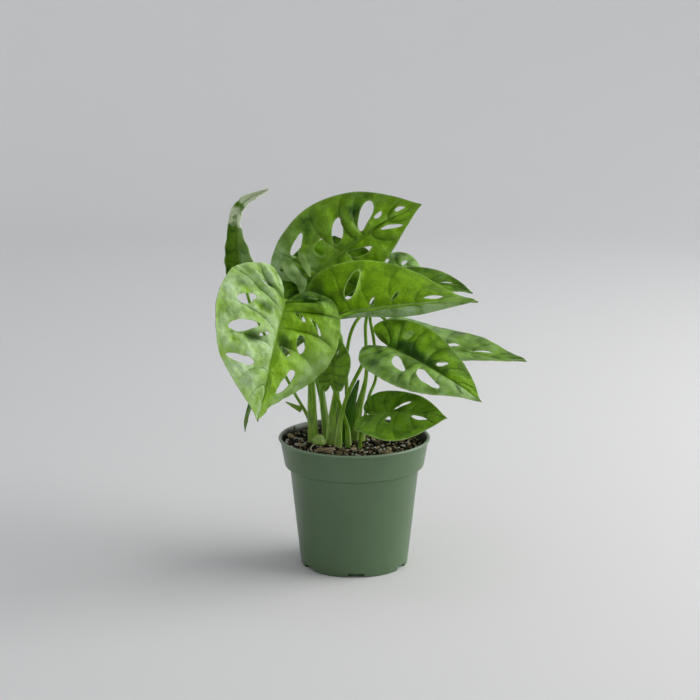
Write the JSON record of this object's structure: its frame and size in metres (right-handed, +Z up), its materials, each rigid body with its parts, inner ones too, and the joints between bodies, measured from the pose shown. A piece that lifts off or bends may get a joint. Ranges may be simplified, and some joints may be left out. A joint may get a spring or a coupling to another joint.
{
  "type": "potted swiss cheese vine",
  "caption": "Young swiss cheese vine with heart-shaped leaves full of oval holes, standing in a round tapered nursery pot.",
  "frame": {"origin": "middle of the pot's base, on the surface it stands on", "axes": "+Z up; -Y towards the side shown first, with the big hanging leaf at its left; +X to the right"},
  "size_m": [0.2114, 0.1507, 0.2643],
  "materials": {
    "pot": "moulded green plastic with a soft sheen",
    "soil": "crumbly dark potting mix",
    "bark": "rough dry bark",
    "blade": "waxy green leaf with a satin gloss",
    "young_blade": "soft young leaf with cream streaks",
    "stalk": "smooth waxy green stalk",
    "sheath": "smooth dark green sheath",
    "stub": "pale green cut stem with dry rings"
  },
  "bodies": {
    "root": {"pot": "pot", "potting_soil": "soil", "bark_chip_1": "bark", "bark_chip_2": "bark", "bark_chip_3": "bark", "bark_chip_4": "bark", "leaf_front_left": "blade", "stalk_front_left": "stalk", "leaf_top": "blade", "stalk_top": "stalk", "leaf_top_back": "blade", "stalk_top_back": "stalk", "leaf_centre": "blade", "stalk_centre": "stalk", "leaf_right_back": "blade", "stalk_right_back": "stalk", "leaf_back": "blade", "stalk_back": "stalk", "leaf_right_long": "blade", "stalk_right_long": "stalk", "leaf_right_front": "blade", "stalk_right_front": "stalk", "leaf_low_right": "blade", "stalk_low_right": "stalk", "leaf_small": "blade", "stalk_small": "stalk", "leaf_young": "young_blade", "stalk_young": "stalk", "leaf_drooping": "blade", "stalk_drooping": "stalk", "rolled_sheath": "sheath", "cutting_stub": "stub", "bract": "sheath"}
  },
  "joints": []
}
